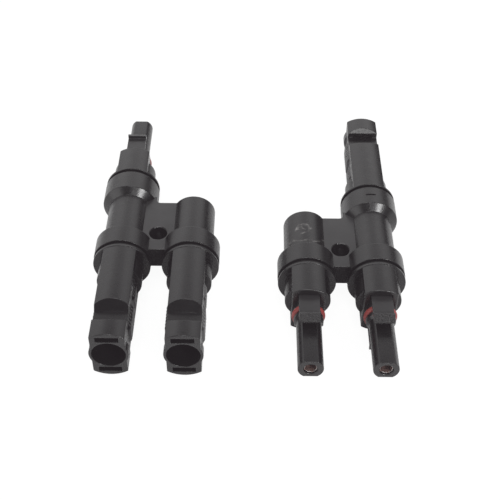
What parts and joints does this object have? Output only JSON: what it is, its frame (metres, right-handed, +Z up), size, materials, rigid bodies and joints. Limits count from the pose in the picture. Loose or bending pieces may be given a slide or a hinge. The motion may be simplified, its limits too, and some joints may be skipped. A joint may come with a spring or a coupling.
{
  "type": "solar branch connector pair",
  "caption": "Matched solar cable branch connectors: round black branch bodies with a drilled web, pin shells with latch windows, and latching socket probes with red seals.",
  "frame": {"origin": "bottom centre of the pair's bounding box, on the surface that the collars lie on", "axes": "+Z up; the tubes and ports run along Y, with the two-port ends towards -Y; +X towards the connector with the probes in front"},
  "size_m": [0.1156, 0.1328, 0.0215],
  "materials": {
    "moulding": "fine matte moulded, glossy on the conical shoulder and the hole's rim",
    "latch_plastic": "fine matte moulded, rough on the fingers' ramps",
    "seal_rubber": "satin silicone",
    "gasket_rubber": "matte",
    "tinned_contact": "tinned copper, satin",
    "copper": "bare copper",
    "spring_steel": "satin"
  },
  "bodies": {
    "left_connector": {"left_branch_body": "moulding", "left_busbar": "copper", "left_front_outer_flange_gasket": "gasket_rubber", "left_front_outer_retaining_clip": "spring_steel", "left_front_outer_pin_shell": "moulding", "left_front_outer_pin_contact": "tinned_contact", "left_front_inner_flange_gasket": "gasket_rubber", "left_front_inner_retaining_clip": "spring_steel", "left_front_inner_pin_shell": "moulding", "left_front_inner_pin_contact": "tinned_contact", "left_rear_flange_gasket": "gasket_rubber", "left_rear_retaining_clip": "spring_steel", "left_rear_socket_probe": "moulding", "left_rear_socket_contact": "tinned_contact", "left_rear_lamella_band": "copper", "left_rear_probe_seal": "seal_rubber"},
    "right_connector": {"right_branch_body": "moulding", "right_busbar": "copper", "right_front_outer_flange_gasket": "gasket_rubber", "right_front_outer_retaining_clip": "spring_steel", "right_front_outer_socket_probe": "moulding", "right_front_outer_socket_contact": "tinned_contact", "right_front_outer_lamella_band": "copper", "right_front_outer_probe_seal": "seal_rubber", "right_front_inner_flange_gasket": "gasket_rubber", "right_front_inner_retaining_clip": "spring_steel", "right_front_inner_socket_probe": "moulding", "right_front_inner_socket_contact": "tinned_contact", "right_front_inner_lamella_band": "copper", "right_front_inner_probe_seal": "seal_rubber", "right_rear_flange_gasket": "gasket_rubber", "right_rear_retaining_clip": "spring_steel", "right_rear_pin_shell": "moulding", "right_rear_pin_contact": "tinned_contact"},
    "left_rear_top_finger": {"left_rear_top_finger": "latch_plastic"},
    "left_rear_bottom_finger": {"left_rear_bottom_finger": "latch_plastic"},
    "right_front_outer_top_finger": {"right_front_outer_top_finger": "latch_plastic"},
    "right_front_outer_bottom_finger": {"right_front_outer_bottom_finger": "latch_plastic"},
    "right_front_inner_top_finger": {"right_front_inner_top_finger": "latch_plastic"},
    "right_front_inner_bottom_finger": {"right_front_inner_bottom_finger": "latch_plastic"}
  },
  "joints": [
    {"name": "right_connector_lift", "type": "slide", "parent": "left_connector", "child": "right_connector", "axis": [0, 0, 1], "range_m": [0, 0.06]},
    {"name": "left_rear_top_latch", "type": "hinge", "parent": "left_connector", "child": "left_rear_top_finger", "pos_m": [-0.0471, 0.03737, 0.0179], "axis": [-1, 0, 0], "range_deg": [0, 5], "stiffness_Nm_per_rad": 0.3},
    {"name": "left_rear_bottom_latch", "type": "hinge", "parent": "left_connector", "child": "left_rear_bottom_finger", "pos_m": [-0.0471, 0.03737, 0.0036], "axis": [1, 0, 0], "range_deg": [0, 5], "stiffness_Nm_per_rad": 0.3},
    {"name": "right_front_outer_top_latch", "type": "hinge", "parent": "right_connector", "child": "right_front_outer_top_finger", "pos_m": [0.0471, -0.03737, 0.0179], "axis": [1, 0, 0], "range_deg": [0, 5], "stiffness_Nm_per_rad": 0.3},
    {"name": "right_front_outer_bottom_latch", "type": "hinge", "parent": "right_connector", "child": "right_front_outer_bottom_finger", "pos_m": [0.0471, -0.03737, 0.0036], "axis": [-1, 0, 0], "range_deg": [0, 5], "stiffness_Nm_per_rad": 0.3},
    {"name": "right_front_inner_top_latch", "type": "hinge", "parent": "right_connector", "child": "right_front_inner_top_finger", "pos_m": [0.0216, -0.03737, 0.0179], "axis": [1, 0, 0], "range_deg": [0, 5], "stiffness_Nm_per_rad": 0.3},
    {"name": "right_front_inner_bottom_latch", "type": "hinge", "parent": "right_connector", "child": "right_front_inner_bottom_finger", "pos_m": [0.0216, -0.03737, 0.0036], "axis": [-1, 0, 0], "range_deg": [0, 5], "stiffness_Nm_per_rad": 0.3}
  ]
}
